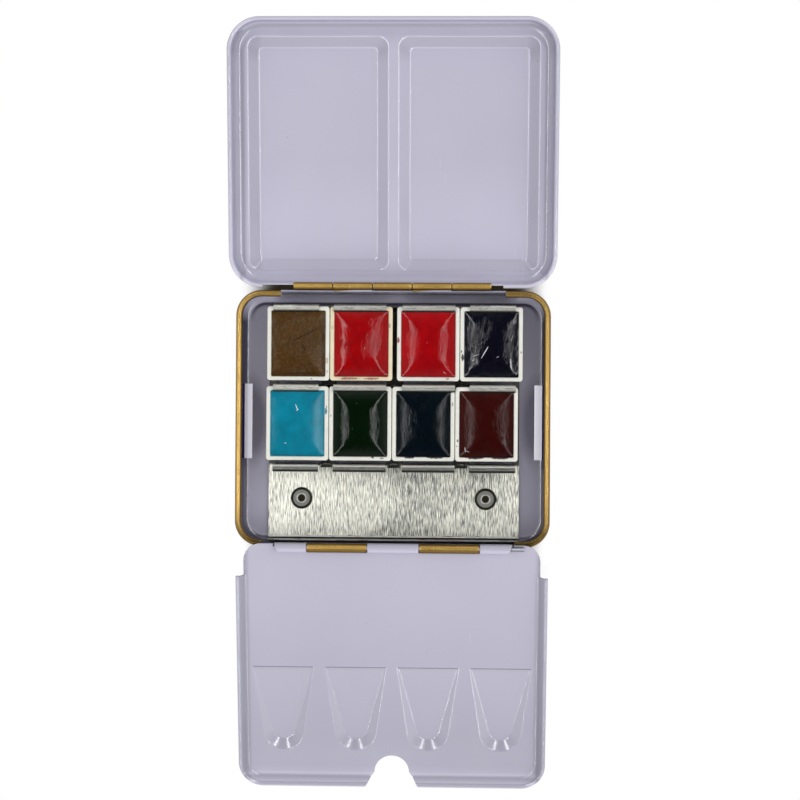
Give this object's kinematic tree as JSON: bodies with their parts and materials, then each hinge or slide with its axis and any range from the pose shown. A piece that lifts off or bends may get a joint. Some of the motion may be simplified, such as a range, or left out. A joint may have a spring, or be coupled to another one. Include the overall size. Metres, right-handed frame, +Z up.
{
  "type": "watercolour paint tin",
  "caption": "Hinged pocket paint tin with half pans of watercolour held by spring clips, a lid with mixing wells and a fold-out palette.",
  "frame": {"origin": "middle of the tray's underside, where it stands on the table", "axes": "+X to the right along both hinges, +Y from the tray towards the lid, +Z up out of the open tray"},
  "size_m": [0.0834, 0.1959, 0.0214],
  "materials": {
    "gold_lacquer": "gloss gold lacquer on tinplate",
    "white_enamel": "gloss white enamel inside, gold lacquer outside",
    "bare_tinplate": "bare, finely streaked",
    "rivet_metal": "dull grey steel",
    "pan_plastic": "gloss",
    "umber_paint": "dried watercolour",
    "crimson_paint": "dried watercolour",
    "navy_paint": "dried watercolour",
    "turquoise_paint": "dried watercolour",
    "green_paint": "dried watercolour",
    "teal_paint": "dried watercolour",
    "maroon_paint": "dried watercolour"
  },
  "bodies": {
    "tray": {"base_tray": "gold_lacquer", "clip_insert": "bare_tinplate", "clip_rivets": "rivet_metal", "lid_hinge_pin": "bare_tinplate", "palette_hinge_pin": "bare_tinplate", "pan_1": "pan_plastic", "pan_2": "pan_plastic", "pan_3": "pan_plastic", "pan_4": "pan_plastic", "pan_5": "pan_plastic", "pan_6": "pan_plastic", "pan_7": "pan_plastic", "pan_8": "pan_plastic", "paint_1": "umber_paint", "paint_2": "crimson_paint", "paint_3": "crimson_paint", "paint_4": "navy_paint", "paint_5": "turquoise_paint", "paint_6": "green_paint", "paint_7": "teal_paint", "paint_8": "maroon_paint"},
    "lid": {"lid": "white_enamel"},
    "palette": {"palette": "white_enamel"}
  },
  "joints": [
    {"name": "lid_hinge", "type": "hinge", "parent": "tray", "child": "lid", "pos_m": [0, 0.03352, 0.0134], "axis": [1, 0, 0], "range_deg": [0, 171.7]},
    {"name": "palette_hinge", "type": "hinge", "parent": "tray", "child": "palette", "pos_m": [0, -0.03275, 0.01375], "axis": [-1, 0, 0], "range_deg": [0, 191.8]}
  ]
}
